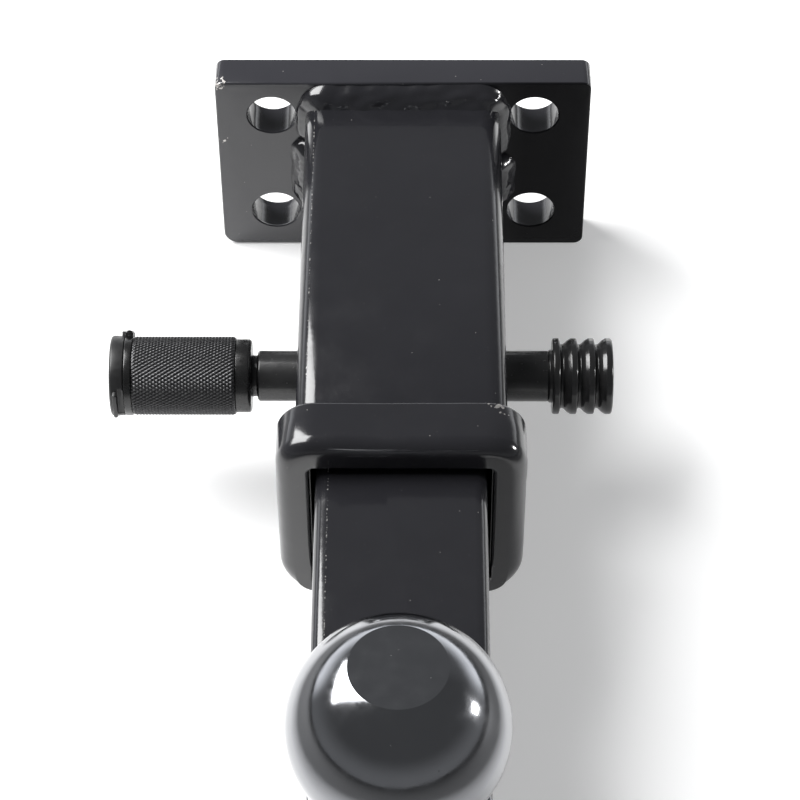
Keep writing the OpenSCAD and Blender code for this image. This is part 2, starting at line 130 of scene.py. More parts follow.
# Pin, knob and lock
PIN_R, NECK_R, SPIGOT_R = 7.9375 * mm, 6.45 * mm, 5 * mm
SHOULDER = 45 * mm
GROOVE_X, GROOVE_W, GROOVE_R = 57 * mm, 3.6 * mm, 4.5 * mm
STEP_RING_R, STEP_RING_T = 8.3 * mm, 1.1 * mm
END_RIB, RIB_PITCH, RIB_DEPTH = 2.7 * mm, 5.4 * mm, 1.9 * mm
BARREL_BORE, NOSE_BORE, SEAT_BORE = 10 * mm, 6.55 * mm, 9 * mm
BORE_ROOM = 0.02 * mm
KNURL_AROUND, KNURL_ALONG, KNURL_DEPTH = 64, 16, 0.42 * mm
SEAT_R, LID_R = 12.5 * mm, 12.6 * mm
LID_FACE = -lid.low.x - 4.3 * mm
KNUCKLE_R = 1.3 * mm
HINGE_RISE = math.hypot(hinge.mid.y - pin.mid.y, hinge.mid.z - pin.mid.z)
TAB_CLOCK = math.radians(42)
TAB_LOW, TAB_HIGH, TAB_REACH = LID_FACE + 1.9 * mm, LID_FACE + 3.2 * mm, 13.4 * mm


# ---- Node materials ----

# Places of a Mix node's colour sockets, which share their names with its number sockets
COLOUR_A, COLOUR_B, COLOUR_OUT = 6, 7, 2


class Finish:
    """One procedural material: a Principled surface fed by textures laid out in the object's own metres."""

    def __init__(self, name, **sockets):
        self.material = bpy.data.materials.new(name)
        self.material.use_nodes = True
        tree = self.material.node_tree
        self.nodes, self.links = tree.nodes, tree.links
        self.surface = self.nodes["Principled BSDF"]
        for socket, value in sockets.items():
            self.surface.inputs[socket.replace("_", " ")].default_value = value
        self.place = self.nodes.new("ShaderNodeTexCoord").outputs["Object"]

    def put(self, source, target):
        """Links an output, or sets a plain value, on a socket."""
        if isinstance(source, bpy.types.NodeSocket):
            self.links.new(source, target)
        else:
            target.default_value = source

    def set(self, socket, source):
        """Links or sets one of the surface's sockets."""
        self.put(source, self.surface.inputs[socket])

    def math(self, kind, a, b=0.0):
        """One step of arithmetic on two values; a product is held between 0 and 1."""
        node = self.nodes.new("ShaderNodeMath")
        node.operation = kind
        node.use_clamp = kind == "MULTIPLY"
        self.put(a, node.inputs[0])
        self.put(b, node.inputs[1])
        return node.outputs[0]

    def axes(self):
        """The place's X, Y and Z as separate numbers."""
        node = self.nodes.new("ShaderNodeSeparateXYZ")
        self.links.new(self.place, node.inputs[0])
        return node.outputs

    def stretched(self, stretch):
        """Coordinates scaled along each axis, so that a texture grows longer where the number is small."""
        node = self.nodes.new("ShaderNodeMapping")
        self.links.new(self.place, node.inputs["Vector"])
        node.inputs["Scale"].default_value = stretch
        return node.outputs["Vector"]

    def noise(self, size, detail=3, stretch=(1, 1, 1)):
        """Cloudy noise, whose patches are about size metres across."""
        node = self.nodes.new("ShaderNodeTexNoise")
        self.links.new(self.stretched(stretch), node.inputs["Vector"])
        node.inputs["Scale"].default_value = 1 / size
        node.inputs["Detail"].default_value = detail
        return node.outputs["Fac"]

    def span(self, value, low, high, a=0.0, b=1.0):
        """Turns low to high into a to b, and holds a and b outside."""
        node = self.nodes.new("ShaderNodeMapRange")
        self.put(value, node.inputs["Value"])
        for socket, number in (("From Min", low), ("From Max", high), ("To Min", a), ("To Max", b)):
            node.inputs[socket].default_value = number
        return node.outputs["Result"]

    def dots(self, spacing, radius, share):
        """1 on scattered round specks: one in each cell of that spacing, for that share of the cells."""
        node = self.nodes.new("ShaderNodeTexVoronoi")
        self.links.new(self.place, node.inputs["Vector"])
        node.inputs["Scale"].default_value = 1 / spacing
        split = self.nodes.new("ShaderNodeSeparateColor")
        self.links.new(node.outputs["Color"], split.inputs["Color"])
        chosen = self.math("LESS_THAN", split.outputs["Red"], share)
        near = self.span(node.outputs["Distance"], radius / spacing, radius / spacing * 0.5)
        return self.math("MULTIPLY", chosen, near)

    def patch(self, centre, radius, grain, amount=0.5):
        """1 in ragged flecks round a point, thinning out towards the radius."""
        node = self.nodes.new("ShaderNodeVectorMath")
        node.operation = "DISTANCE"
        self.links.new(self.place, node.inputs[0])
        node.inputs[1].default_value = centre
        fade = self.span(node.outputs["Value"], 0, radius, amount, 0)
        edge = self.math("SUBTRACT", self.math("ADD", self.noise(grain, 5), fade), 0.88)
        return self.span(edge, 0, 0.03)

    def mix(self, factor, a, b):
        """Blends from colour a to colour b; either may be linked or plain."""
        node = self.nodes.new("ShaderNodeMix")
        node.data_type = "RGBA"
        self.put(factor, node.inputs["Factor"])
        for colour, place in ((a, COLOUR_A), (b, COLOUR_B)):
            source = colour if isinstance(colour, bpy.types.NodeSocket) else (*colour, 1)
            self.put(source, node.inputs[place])
        return node.outputs[COLOUR_OUT]

    def edges(self, radius, low=0.02, high=0.3):
        """1 along edges that turn outwards or inwards within the radius."""
        soft = self.nodes.new("ShaderNodeBevel")
        soft.samples = 4
        soft.inputs["Radius"].default_value = radius
        plain = self.nodes.new("ShaderNodeNewGeometry")
        dot = self.nodes.new("ShaderNodeVectorMath")
        dot.operation = "DOT_PRODUCT"
        self.links.new(soft.outputs["Normal"], dot.inputs[0])
        self.links.new(plain.outputs["Normal"], dot.inputs[1])
        return self.span(self.math("SUBTRACT", 1.0, dot.outputs["Value"]), low, high)

    def bump(self, *layers):
        """Stacks bumps: each layer is a height and its depth in metres."""
        normal = None
        for height, depth in layers:
            node = self.nodes.new("ShaderNodeBump")
            node.inputs["Distance"].default_value = depth
            self.put(height, node.inputs["Height"])
            if normal is not None:
                self.links.new(normal, node.inputs["Normal"])
            normal = node.outputs["Normal"]
        self.links.new(normal, self.surface.inputs["Normal"])


def black_coat(name, bare_spots=(), speck_line=None, painted_shade_right=False, tone=1.0):
    """Gloss black powder coat: orange peel, dust specks, and bare steel where it has chipped.
    Specks gather along X = speck_line. The side switch paints shade on the plate's front: darker and less
    glossy towards +X."""
    f = Finish(name, Specular_IOR_Level=0.5, Coat_Weight=0.3, Coat_Roughness=0.05)
    dark, light = Vector((0.0125, 0.0125, 0.0145)) * tone, Vector((0.0165, 0.0165, 0.0195)) * tone
    colour = f.mix(f.noise(35 * mm), tuple(dark), tuple(light))
    dust = f.dots(2.8 * mm, 0.19 * mm, 0.14)
    fine_dust = f.dots(1.3 * mm, 0.08 * mm, 0.16)
    colour = f.mix(f.math("MULTIPLY", dust, 0.5), colour, (0.42, 0.4, 0.38))
    colour = f.mix(f.math("MULTIPLY", fine_dust, 0.25), colour, (0.35, 0.34, 0.33))
    if speck_line is not None:
        off = f.math("ABSOLUTE", f.math("SUBTRACT", f.axes()["X"], speck_line))
        some = f.span(f.noise(0.9 * mm, 3), 0.55, 0.66)
        specks = f.math("MULTIPLY", f.span(off, 0.24 * mm, 0.1 * mm), some)
        colour = f.mix(f.math("MULTIPLY", specks, 0.55), colour, (0.45, 0.44, 0.42))
    # Painted shade: the plate's front is darkened and loses its gloss towards +X.
    if painted_shade_right:
        axes = f.axes()
        side = f.span(axes["X"], -25 * mm, 40 * mm)
        front = f.span(axes["Y"], plate.low.y + 0.8 * mm, plate.low.y + 0.3 * mm)
        side = f.math("MULTIPLY", side, front)
        colour = f.mix(side, colour, (0.006, 0.006, 0.007))
        f.set("Specular IOR Level", f.span(side, 0, 1, 0.5, 0.12))
        f.set("Coat Weight", f.span(side, 0, 1, 0.3, 0.0))
    rough = f.span(f.noise(12 * mm), 0.3, 0.7, 0.12, 0.22)
    metal = 0.0
    for centre, radius in bare_spots:
        bare = f.patch(centre, radius, 1.4 * mm)
        colour = f.mix(bare, colour, (0.5, 0.48, 0.46))
        rough = f.math("ADD", rough, f.math("MULTIPLY", bare, 0.3))
        metal = f.math("ADD", metal, bare)
    f.set("Base Color", colour)
    f.set("Roughness", f.math("ADD", rough, f.math("MULTIPLY", dust, 0.4)))
    if bare_spots:
        f.set("Metallic", metal)
    f.bump((f.noise(1.6 * mm, 2), 0.02 * mm), (f.noise(9 * mm, 2), 0.11 * mm), (dust, 0.05 * mm))
    return f.material


def ball_chrome():
    """Dark polished chrome: faint turning marks, small pits, cloudy wear and dust."""
    f = Finish("ball_chrome", Metallic=1.0)
    colour = f.mix(f.noise(18 * mm, 4), (0.27, 0.275, 0.29), (0.32, 0.325, 0.34))
    pits = f.dots(3.4 * mm, 0.2 * mm, 0.12)
    dust = f.dots(2.0 * mm, 0.1 * mm, 0.12)
    colour = f.mix(f.math("MULTIPLY", pits, 0.7), colour, (0.06, 0.06, 0.06))
    f.set("Base Color", f.mix(f.math("MULTIPLY", dust, 0.6), colour, (0.7, 0.7, 0.7)))
    rough = f.span(f.noise(5 * mm, 5), 0.35, 0.7, 0.09, 0.16)
    f.set("Roughness", f.math("ADD", rough, f.math("MULTIPLY", dust, 0.5)))
    f.bump((f.noise(0.7 * mm, 3, (0.3, 0.3, 1)), 0.005 * mm), (f.noise(7 * mm, 2), 0.035 * mm),
           (f.math("SUBTRACT", 1.0, pits), 0.03 * mm))
    return f.material


def plain_steel(name="plain_steel", tone=0.45, grain=(1, 1, 0.15), roughness=(0.28, 0.45)):
    """Zinc plated steel: cloudy, slightly brushed, brighter along its edges."""
    f = Finish(name, Metallic=1.0)
    colour = f.mix(f.noise(5 * mm, 4), (tone * 0.75, tone * 0.76, tone * 0.8), (tone, tone, tone * 0.98))
    f.set("Base Color", f.mix(f.math("MULTIPLY", f.edges(0.4 * mm), 0.6), colour, (0.68, 0.68, 0.66)))
    f.set("Roughness", f.span(f.noise(2 * mm, 4), 0.3, 0.7, *roughness))
    f.bump((f.noise(0.5 * mm, 4, grain), 0.02 * mm))
    return f.material


def satin_black(name, dark, light, roughness, wear=0.0):
    """Black finish for turned or moulded pieces, dusty, and rubbed along its edges where wear is over 0."""
    f = Finish(name, Specular_IOR_Level=0.55)
    colour = f.mix(f.noise(4 * mm, 4), (dark,) * 3, (light, light, light * 1.04))
    dust = f.dots(1.7 * mm, 0.1 * mm, 0.16)
    colour = f.mix(f.math("MULTIPLY", dust, 0.5), colour, (0.5, 0.5, 0.48))
    rough = f.span(f.noise(1.6 * mm, 4), 0.3, 0.7, *roughness)
    if wear > 0:
        worn = f.math("MULTIPLY", f.edges(0.25 * mm), f.span(f.noise(1.1 * mm, 4), 0.45, 0.62, 0, wear))
        colour = f.mix(worn, colour, (0.32, 0.31, 0.3))
        rough = f.math("ADD", rough, f.math("MULTIPLY", worn, 0.1))
    f.set("Base Color", colour)
    f.set("Roughness", rough)
    f.bump((f.noise(0.35 * mm, 3), 0.008 * mm), (f.noise(3 * mm, 2), 0.02 * mm))
    return f.material


def knurled_black():
    """Black oxide on the knurl: painted shade darkens the valleys, and the crests are lighter, partly rubbed
    wear and partly painted highlight.
    """
    f = Finish("lock_black", Metallic=0.6, Specular_IOR_Level=0.6)
    relief = f.nodes.new("ShaderNodeAttribute")
    relief.attribute_name = "relief"
    height = relief.outputs["Fac"]
    worn = f.math("MULTIPLY", f.span(height, 0.55, 0.95), f.span(f.noise(1.4 * mm, 4), 0.4, 0.65, 0.25, 1))
    # Painted shade: darker towards the knurl's valleys.
    colour = f.mix(f.span(height, 0, 0.5), (0.012, 0.012, 0.013), (0.036, 0.036, 0.038))
    # Lighter rubbed crests: partly real wear, partly painted highlight standing in for glints.
    f.set("Base Color", f.mix(f.math("MULTIPLY", worn, 0.38), colour, (0.32, 0.32, 0.32)))
    f.set("Roughness", f.span(f.noise(0.8 * mm, 3), 0.3, 0.7, 0.22, 0.4))
    f.bump((f.noise(0.3 * mm, 3), 0.01 * mm))
    return f.material


def rubber():
    """Dull black rubber, mottled and fine grained."""
    f = Finish("seal_rubber", Specular_IOR_Level=0.3)
    f.set("Base Color", f.mix(f.noise(2 * mm), (0.008,) * 3, (0.02,) * 3))
    f.set("Roughness", f.span(f.noise(1 * mm, 4), 0.3, 0.7, 0.6, 0.8))
    f.bump((f.noise(0.4 * mm, 4), 0.01 * mm))
    return f.material


def brass():
    """Yellow brass, brushed along X and brighter along its edges."""
    f = Finish("lock_brass", Metallic=1.0)
    colour = f.mix(f.noise(3 * mm, 4), (0.5, 0.36, 0.15), (0.72, 0.55, 0.27))
    f.set("Base Color", f.mix(f.math("MULTIPLY", f.edges(0.15 * mm), 0.5), colour, (0.85, 0.72, 0.42)))
    f.set("Roughness", f.span(f.noise(1 * mm, 4), 0.3, 0.7, 0.22, 0.4))
    f.bump((f.noise(0.25 * mm, 4, (0.2, 1, 1)), 0.008 * mm))
    return f.material


# ---- Mesh helpers ----

def fillet(corners, radii, steps=6):
    """Outline through 2D corners, each rounded to its own radius; a radius of 0 keeps the corner."""
    outline = []
    for i, corner in enumerate(corners):
        here = Vector(corner)
        if radii[i] <= 0:
            outline.append(here)
            continue
        before = Vector(corners[i - 1]) - here
        after = Vector(corners[(i + 1) % len(corners)]) - here
        a, b = before.normalized(), after.normalized()
        half = a.angle(b) / 2
        reach = min(radii[i] / math.tan(half), before.length * 0.499, after.length * 0.499)
        centre = here + (a + b).normalized() * (reach / math.cos(half))
        start, end = here + a * reach - centre, here + b * reach - centre
        turn = math.atan2(start.x * end.y - start.y * end.x, start.dot(end))
        for k in range(steps + 1):
            t = turn * k / steps
            c, s = math.cos(t), math.sin(t)
            outline.append(centre + Vector((start.x * c - start.y * s, start.x * s + start.y * c)))
    return outline


def skin(bm, rings, along=False):
    """Faces between rings of vertices; a ring of one vertex is a pole.
    With along, the last ring meets the first."""
    pairs = list(zip(rings, rings[1:])) + ([(rings[-1], rings[0])] if along else [])
    for low, high in pairs:
        count = max(len(low), len(high))
        for k in range(count):
            j = (k + 1) % count
            corners = [low[k % len(low)], low[j % len(low)], high[j % len(high)], high[k % len(high)]]
            bm.faces.new(list(dict.fromkeys(corners)))


def make(name, bm, body, finish, replaced, place=None, sharp=35):
    """Turns the built mesh into a piece that rides on its body and stands for the replaced CAD nodes.
    Edges that bend by more than sharp degrees stay crisp."""
    bmesh.ops.recalc_face_normals(bm, faces=bm.faces)
    if place is not None:
        bm.transform(place)
    mesh = bpy.data.meshes.new(name)
    bm.to_mesh(mesh)
    bm.free()
    mesh.shade_smooth()
    mesh.set_sharp_from_angle(angle=math.radians(sharp))
    piece = bpy.data.objects.new(name, mesh)
    bpy.context.collection.objects.link(piece)
    mesh.materials.append(finish)
    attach(piece, body)
    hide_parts(*replaced)
    return piece


def lathed(profile, steps=96, closed=False, shape=None):
    """Mesh turned about Z from (radius, height) points. shape may move a point, given as a vector."""
    bm = bmesh.new()
    rings = []
    for radius, height in profile:
        turns = steps if radius > 1e-7 else 1
        ring = []
        for k in range(turns):
            t = 2 * math.pi * k / steps
            spot = Vector((radius * math.cos(t), radius * math.sin(t), height))
            ring.append(bm.verts.new(shape(spot) if shape else spot))
        rings.append(ring)
    skin(bm, rings, along=closed)
    return bm


def circle(radius, height, steps):
    """Loop of points round Z."""
    turns = [2 * math.pi * k / steps for k in range(steps)]
    return [Vector((radius * math.cos(t), radius * math.sin(t), height)) for t in turns]


def merge(target, source):
    """Adds one built mesh to another and frees it."""
    mesh = bpy.data.meshes.new("merge")
    source.to_mesh(mesh)
    source.free()
    target.from_mesh(mesh)
    bpy.data.meshes.remove(mesh)


def combined(base, other, kind):
    """The boolean of two built meshes, as a new mesh. Frees both."""
    objects = []
    for bm in (base, other):
        bmesh.ops.recalc_face_normals(bm, faces=bm.faces)
        mesh = bpy.data.meshes.new("boolean")
        bm.to_mesh(mesh)
        bm.free()
        objects.append(bpy.data.objects.new("boolean", mesh))
        bpy.context.collection.objects.link(objects[-1])
    cut = objects[0].modifiers.new("boolean", "BOOLEAN")
    cut.operation, cut.solver, cut.object = kind, "EXACT", objects[1]
    bpy.context.view_layer.update()
    shape = objects[0].evaluated_get(bpy.context.evaluated_depsgraph_get()).to_mesh()
    result = bmesh.new()
    result.from_mesh(shape)
    objects[0].evaluated_get(bpy.context.evaluated_depsgraph_get()).to_mesh_clear()
    for o in objects:
        mesh = o.data
        bpy.data.objects.remove(o)
        bpy.data.meshes.remove(mesh)
    bmesh.ops.remove_doubles(result, verts=result.verts, dist=1e-7)
    return result


def swept(rows, capped=True):
    """Mesh through closed loops of points: with flat ends, or with the last loop joined to the first."""
    bm = bmesh.new()
    rings = [[bm.verts.new(spot) for spot in row] for row in rows]
    skin(bm, rings, along=not capped)
    if capped:
        bm.faces.new(rings[0])
        bm.faces.new(rings[-1])
    return bm


def square_row(half, radius, y, middle_z=0.0, steps=8, low_radius=None):
    """Closed loop of a square with round corners, across the tube's axis; the lower two may be rounder."""
    row = []
    for quarter in range(4):
        turn = Matrix.Rotation(quarter * math.pi / 2, 2)
        r = radius if low_radius is None or quarter < 2 else low_radius
        for k in range(steps + 1):
            t = math.pi / 2 * k / steps
            flat = turn @ Vector((half - r + r * math.cos(t), half - r + r * math.sin(t)))
            row.append(Vector((flat.x, y, flat.y + middle_z)))
    return row


def wobble(spot, size, amount, seed=0.0):
    """Smooth random push, for metal that was cast, forged or ground by hand."""
    return noise.noise(spot / size + Vector((seed, seed, seed))) * amount


def pin_axis():
    """Placement for turned pieces on the pin's axis: their Z points left, from the tube's middle plane."""
    return Matrix.Translation((0, pin.mid.y, pin.mid.z)) @ Matrix.Rotation(-math.pi / 2, 4, "Y")


def ball_axis():
    """Placement for turned pieces on the ball's upright axis."""
    return Matrix.Translation((ball.mid.x, ball.mid.y, 0))


# ---- Finishes ----

plate_corner = Vector((plate.low.x, plate.low.y, plate.high.z))
plate_chip = (plate.low.x + 2 * mm, plate.low.y, 12 * mm)
collar_corner = Vector((collar.high.x - 9 * mm, collar.high.y - 1 * mm, collar.high.z - 3 * mm))
coat = black_coat("black_coat")
tube_coat = black_coat("black_coat_tube", speck_line=tube.low.x + 3.2 * mm)
shank_coat = black_coat("black_coat_shank", speck_line=shank.low.x + 3.9 * mm)
plate_coat = black_coat("black_coat_plate", [(plate_corner, 9 * mm), (plate_chip, 3 * mm)], painted_shade_right=True,
                        tone=1.9)
collar_coat = black_coat("black_coat_collar", [(collar_corner, 9 * mm)])
chrome = ball_chrome()
zinc = plain_steel()
bright_steel = plain_steel("bright_steel", 0.6, (1, 1, 1), (0.22, 0.35))
pin_black = satin_black("pin_black", 0.015, 0.022, (0.2, 0.28), 0.25)
knob_black = satin_black("knob_black", 0.01, 0.016, (0.14, 0.24))
ring_black = satin_black("ring_black", 0.005, 0.009, (0.22, 0.3), 0.2)
knurl_black = knurled_black()
plastic = satin_black("black_plastic", 0.008, 0.018, (0.35, 0.5))
seal_rubber = rubber()
lock_alloy = plain_steel("lock_alloy", 0.5, (1, 1, 1), (0.35, 0.5))
lock_brass = brass()


# ---- Receiver ----

def inset_rows(size_x, size_z, middle, radii, y_back, y_front, edge, steps=4):
    """Loops of a slab with round corners and softened front and back edges, from back to front."""
    rows = []
    for y, inward, end in ((y_back, -1, True), (y_front, 1, False)):
        bends = []
        for k in range(steps + 1):
            t = math.pi / 2 * k / steps
            bends.append((edge * (1 - math.sin(t)), y + inward * edge * (1 - math.cos(t))))
        rows += bends if end else bends[::-1]
    loops = []
    for inset, y in rows:
        half_x, half_z = size_x / 2 - inset, size_z / 2 - inset
        corners = [(-half_x, -half_z), (half_x, -half_z), (half_x, half_z), (-half_x, half_z)]
        outline = fillet(corners, [max(r - inset, 0.1 * mm) for r in radii])
        loops.append([Vector((middle.x + p.x, y, middle.z + p.y)) for p in outline])
    return loops


def hole_cutter(radius, length, flare, steps=64, marks=0):
    """Drill shape along Z, a little wider where it meets the faces at 0 and length.
    A positive marks cuts rings of that depth, as a worn drill leaves."""
    past = 1 * mm
    lip = flare + past
    wall = [(radius, flare)]
    pitch = (length - 2 * flare) / 4
    for i in range(4 if marks else 0):
        wall += [(radius + marks, flare + (i + 0.3) * pitch), (radius, flare + (i + 1) * pitch)]
    wall = wall if marks else wall + [(radius, length - flare)]
    return lathed([(0, -past), (radius + lip, -past), *wall,
                   (radius + lip, length + past), (0, length + past)], steps)


def build_plate():
    """Flat plate with softened edges and four bolt holes, the lower left one the roughest."""
    bm = swept(inset_rows(plate.size.x, plate.size.z, plate.mid, [5 * mm, 3 * mm, 3 * mm, 3 * mm],
                          plate.high.y, plate.low.y, 0.7 * mm))
    for x in (-1, 1):
        for z in (-1, 1):
            marks = 0.28 * mm if x < 0 and z < 0 else 0.06 * mm
            cutter = hole_cutter(BOLT_HOLE_R, plate.size.y, 0.35 * mm, marks=marks)
            spot = (x * BOLT_SPREAD_X / 2, plate.low.y, BOLT_RISE + z * BOLT_SPREAD_Z / 2)
            cutter.transform(Matrix.Translation(spot) @ Matrix.Rotation(-math.pi / 2, 4, "X"))
            bm = combined(bm, cutter, "DIFFERENCE")
    return make("plate", bm, "receiver", plate_coat, ["mounting_plate"])


def square_tube(half, radius, wall, inner_radius, y_back, y_front, middle_z):
    """Hollow square bar with slightly rounded ends."""
    edge = 0.3 * mm
    rows = []
    for y, inward in ((y_back, -1), (y_front, 1)):
        ends = [(half, y + inward * edge), (half - edge * 0.3, y + inward * edge * 0.3), (half - edge, y)]
        rows += ends[::-1] if inward < 0 else ends
    loops = [square_row(h, radius - (half - h), y, middle_z) for h, y in rows]
    loops += [square_row(half - wall, inner_radius, y, middle_z) for y in (y_front, y_back)]
    return swept(loops, capped=False)


def cross_drill(bm, radius, middle_z, half):
    """Pin hole through both sides of a tube."""
    cutter = hole_cutter(radius, 2 * half, 0.3 * mm, 72)
    cutter.transform(Matrix.Translation((-half, pin.mid.y, middle_z)) @ Matrix.Rotation(math.pi / 2, 4, "Y"))
    return combined(bm, cutter, "DIFFERENCE")


def build_tube():
    """Receiver tube, with the pin's hole through both sides."""
    half = tube.size.x / 2
    bm = square_tube(half, TUBE_CORNER, TUBE_WALL, INNER_CORNER, tube.high.y, tube.low.y, 0)
    bm = cross_drill(bm, TUBE_HOLE_R, 0, half)
    return make("tube", bm, "receiver", tube_coat, ["receiver_tube"])


def bead_path(points, spacing=0.45 * mm):
    """Even stations along a line: each is (spot, distance from the start, whole length)."""
    lengths = [0.0]
    for a, b in zip(points, points[1:]):
        lengths.append(lengths[-1] + (b - a).length)
    count = max(2, round(lengths[-1] / spacing))
    stations, i = [], 0
    for k in range(count + 1):
        s = lengths[-1] * k / count
        while i < len(points) - 2 and s > lengths[i + 1]:
            i += 1
        a, b = points[i], points[i + 1]
        spot = a.lerp(b, (s - lengths[i]) / (lengths[i + 1] - lengths[i]))
        stations.append((spot, s, lengths[-1]))
    return stations


def tube_normal(spot):
    """Outward direction of the tube's skin at a spot, in the X and Z plane."""
    flat = tube.size.x / 2 - TUBE_CORNER
    core = Vector((max(-flat, min(flat, spot.x)), max(-flat, min(flat, spot.y))))
    away = spot - core
    return away.normalized() if away.length > 1e-9 else Vector((1, 0))


def weld_bead(points, leg, wall_y, seed, thin_leg=None, ripple=2.6 * mm, steps=12):
    """Fillet weld laid along 2D points on the tube's skin: soft crescents, tapering at both ends.
    Away from the level faces it narrows to thin_leg."""
    rows = []
    sunk = 0.3 * mm
    thin_leg = thin_leg or leg
    for spot, s, total in bead_path(points):
        out = tube_normal(spot)
        level = max(0.0, abs(out.y) * 2 - 1)
        here = thin_leg + (leg - thin_leg) * level
        ripple_depth = 0.014 - 0.012 * level
        from_end = min(s, total - s) / (here * 0.9)
        taper = math.sqrt(max(0.0, 1 - (1 - min(1.0, from_end)) ** 2))
        row = [Vector((spot.x - out.x * sunk, wall_y + sunk, spot.y - out.y * sunk))]
        for k in range(steps + 1):
            a = math.pi / 2 * k / steps
            full = 0.5 / (math.cos(a) + math.sin(a)) + 0.48
            phase = s / ripple + 0.5 * math.sin(2 * a) + 0.5 * noise.noise(Vector((s / (7 * mm), seed, 0)))
            crest = 0.5 - 0.5 * math.cos(2 * math.pi * phase)
            lump = 1 + 0.13 * noise.noise(Vector((s / (6 * mm), a * 1.5, seed)))
            size = here * full * lump * (1 - ripple_depth * (1 - crest)) * max(0.04, taper)
            near, far = math.cos(a) * size, math.sin(a) * size
            row.append(Vector((spot.x + out.x * far, wall_y - near, spot.y + out.y * far)))
        rows.append(row)
    return swept(rows)


def corner_arc(side, steps=8):
    """Points round the tube's upper corner on one side, from its level face to its upright face."""
    flat = tube.size.x / 2 - TUBE_CORNER
    arc = []
    for k in range(steps + 1):
        t = math.pi / 2 * k / steps
        out, up = flat + TUBE_CORNER * math.sin(t), flat + TUBE_CORNER * math.cos(t)
        arc.append(Vector((side * out, up)))
    return arc


def lay(name, bead, node):
    """Makes one weld piece, which stands for its CAD node."""
    make(name, bead, "receiver", coat, [node], sharp=60)


def build_welds():
    """Beads round the tube at the plate, and one under the tube behind the collar."""
    half, flat = tube.size.x / 2, tube.size.x / 2 - TUBE_CORNER
    over = [Vector((-half, flat - LEFT_DROP)), *corner_arc(-1)[::-1], *corner_arc(1),
            Vector((half, flat - RIGHT_DROP))]
    lay("top_bead", weld_bead(over, WELD_LEG * 0.97, plate.low.y, 1.0, WRAP_LEG), "top_weld")
    sides = Span("side_welds")
    beads = bmesh.new()
    for sign, top, seed in ((-1, sides.high.z, 2.0), (1, sides.low.z + 0.74 * sides.size.z, 3.0)):
        line = [Vector((sign * half, top)), Vector((sign * half, sides.low.z))]
        merge(beads, weld_bead(line, WELD_LEG * 0.92, plate.low.y, seed))
    lay("side_beads", beads, "side_welds")
    under = [Vector((-flat, -half)), Vector((flat, -half))]
    lay("under_bead", weld_bead(under, WELD_LEG, plate.low.y, 4.0), "under_weld")
    behind = Span("collar_weld")
    bead = weld_bead(under, behind.size.y, 0, 5.0)
    bead.transform(Matrix.Translation((0, behind.low.y, 0)) @ Matrix.Diagonal((1, -1, 1, 1)))
    lay("collar_bead", bead, "collar_weld")


def build_collar():
    """Heavy square ring: its faces are a little uneven, and its front edge is well rounded."""
    centre = tube.size.x / 2 - TUBE_CORNER
    half, recess = collar.size.x / 2, tube.size.x / 2 + 0.1 * mm
    corners = [(recess, collar.high.y), (half, collar.high.y), (half, collar.low.y),
               (MOUTH_HALF, collar.low.y), (MOUTH_HALF, tube.low.y), (recess, tube.low.y)]
    outline = fillet(corners, [0, 1.5 * mm, 5.5 * mm, 1.2 * mm, 0, 0], 10)
    section = []
    for a, b in zip(outline, outline[1:] + outline[:1]):
        parts = max(1, round((b - a).length / (2 * mm)))
        section += [a.lerp(b, k / parts) for k in range(parts)]
    rows = []
    for p in section:
        row = []
        outer = p.x > recess + 1 * mm
        low_radius = p.x - half + COLLAR_LOW_R if outer else None
        loop = square_row(p.x, p.x - centre, p.y, 0, 14, low_radius)
        for a, b in zip(loop, loop[1:] + loop[:1]):
            parts = 14 if (b - a).length > 5 * mm else 1
            row += [a.lerp(b, k / parts) for k in range(parts)]
        rows.append([uneven(spot, outer) for spot in row])
    return make("collar", swept(rows, capped=False), "receiver", collar_coat, ["mouth_collar"],
                sharp=50)


def uneven(spot, outside):
    """Collar surface after forging: broad waves, and small lumps under the coat."""
    if not outside:
        return spot
    out = Vector((spot.x, 0, spot.z)).normalized()
    push = wobble(spot, 16 * mm, 0.2 * mm) + wobble(spot, 5 * mm, 0.05 * mm, 7.0) - 0.12 * mm
    for x, y, z, radius, height in COLLAR_LUMPS:
        centre = Vector((x * collar.size.x / 2, collar.low.y + y * collar.size.y, z * collar.size.z / 2))
        push += height * math.exp(-((spot - centre).length / radius) ** 2)
    return spot + out * push


# ---- Ball mount ----

def build_shank():
    """Hollow square bar, drilled across for the pin and upright for the stud."""
    half = shank.size.x / 2
    bm = square_tube(half, SHANK_CORNER, SHANK_WALL, INNER_CORNER, shank.high.y, shank.low.y, shank.mid.z)
    bm = cross_drill(bm, SHANK_HOLE_R, shank.mid.z, half)
    cutter = hole_cutter(STUD_R + STUD_ROOM, shank.size.z, 0.3 * mm, 72)
    cutter.transform(Matrix.Translation((0, ball.mid.y, shank.low.z)))
    bm = combined(bm, cutter, "DIFFERENCE")
    return make("shank_bar", bm, "ball_mount", shank_coat, ["shank"])


def build_end_plug():
    """Pushed-in cap: a softened flange with a shallow dish, and a thin skirt inside the shank."""
    loops = inset_rows(end_plug.size.x, end_plug.size.z, end_plug.mid, [SHANK_CORNER] * 4,
                       shank.low.y, end_plug.low.y, 0.9 * mm)
    dish = [[spot + Vector((0, depth, 0)) for spot in row] for depth, row in (
        (0, inset_loop(end_plug, 5 * mm, end_plug.low.y)),
        (0.5 * mm, inset_loop(end_plug, 6 * mm, end_plug.low.y)))]
    bm = swept(loops + dish)
    skirt = shank.size.x / 2 - SHANK_WALL - 0.15 * mm
    joined = shank.low.y + (shank.low.y - end_plug.low.y) * 0.1
    merge(bm, square_tube(skirt, INNER_CORNER, 2.5 * mm, 1 * mm, end_plug.high.y, joined, shank.mid.z))
    return make("end_cap", bm, "ball_mount", plastic, ["shank_end_plug"])


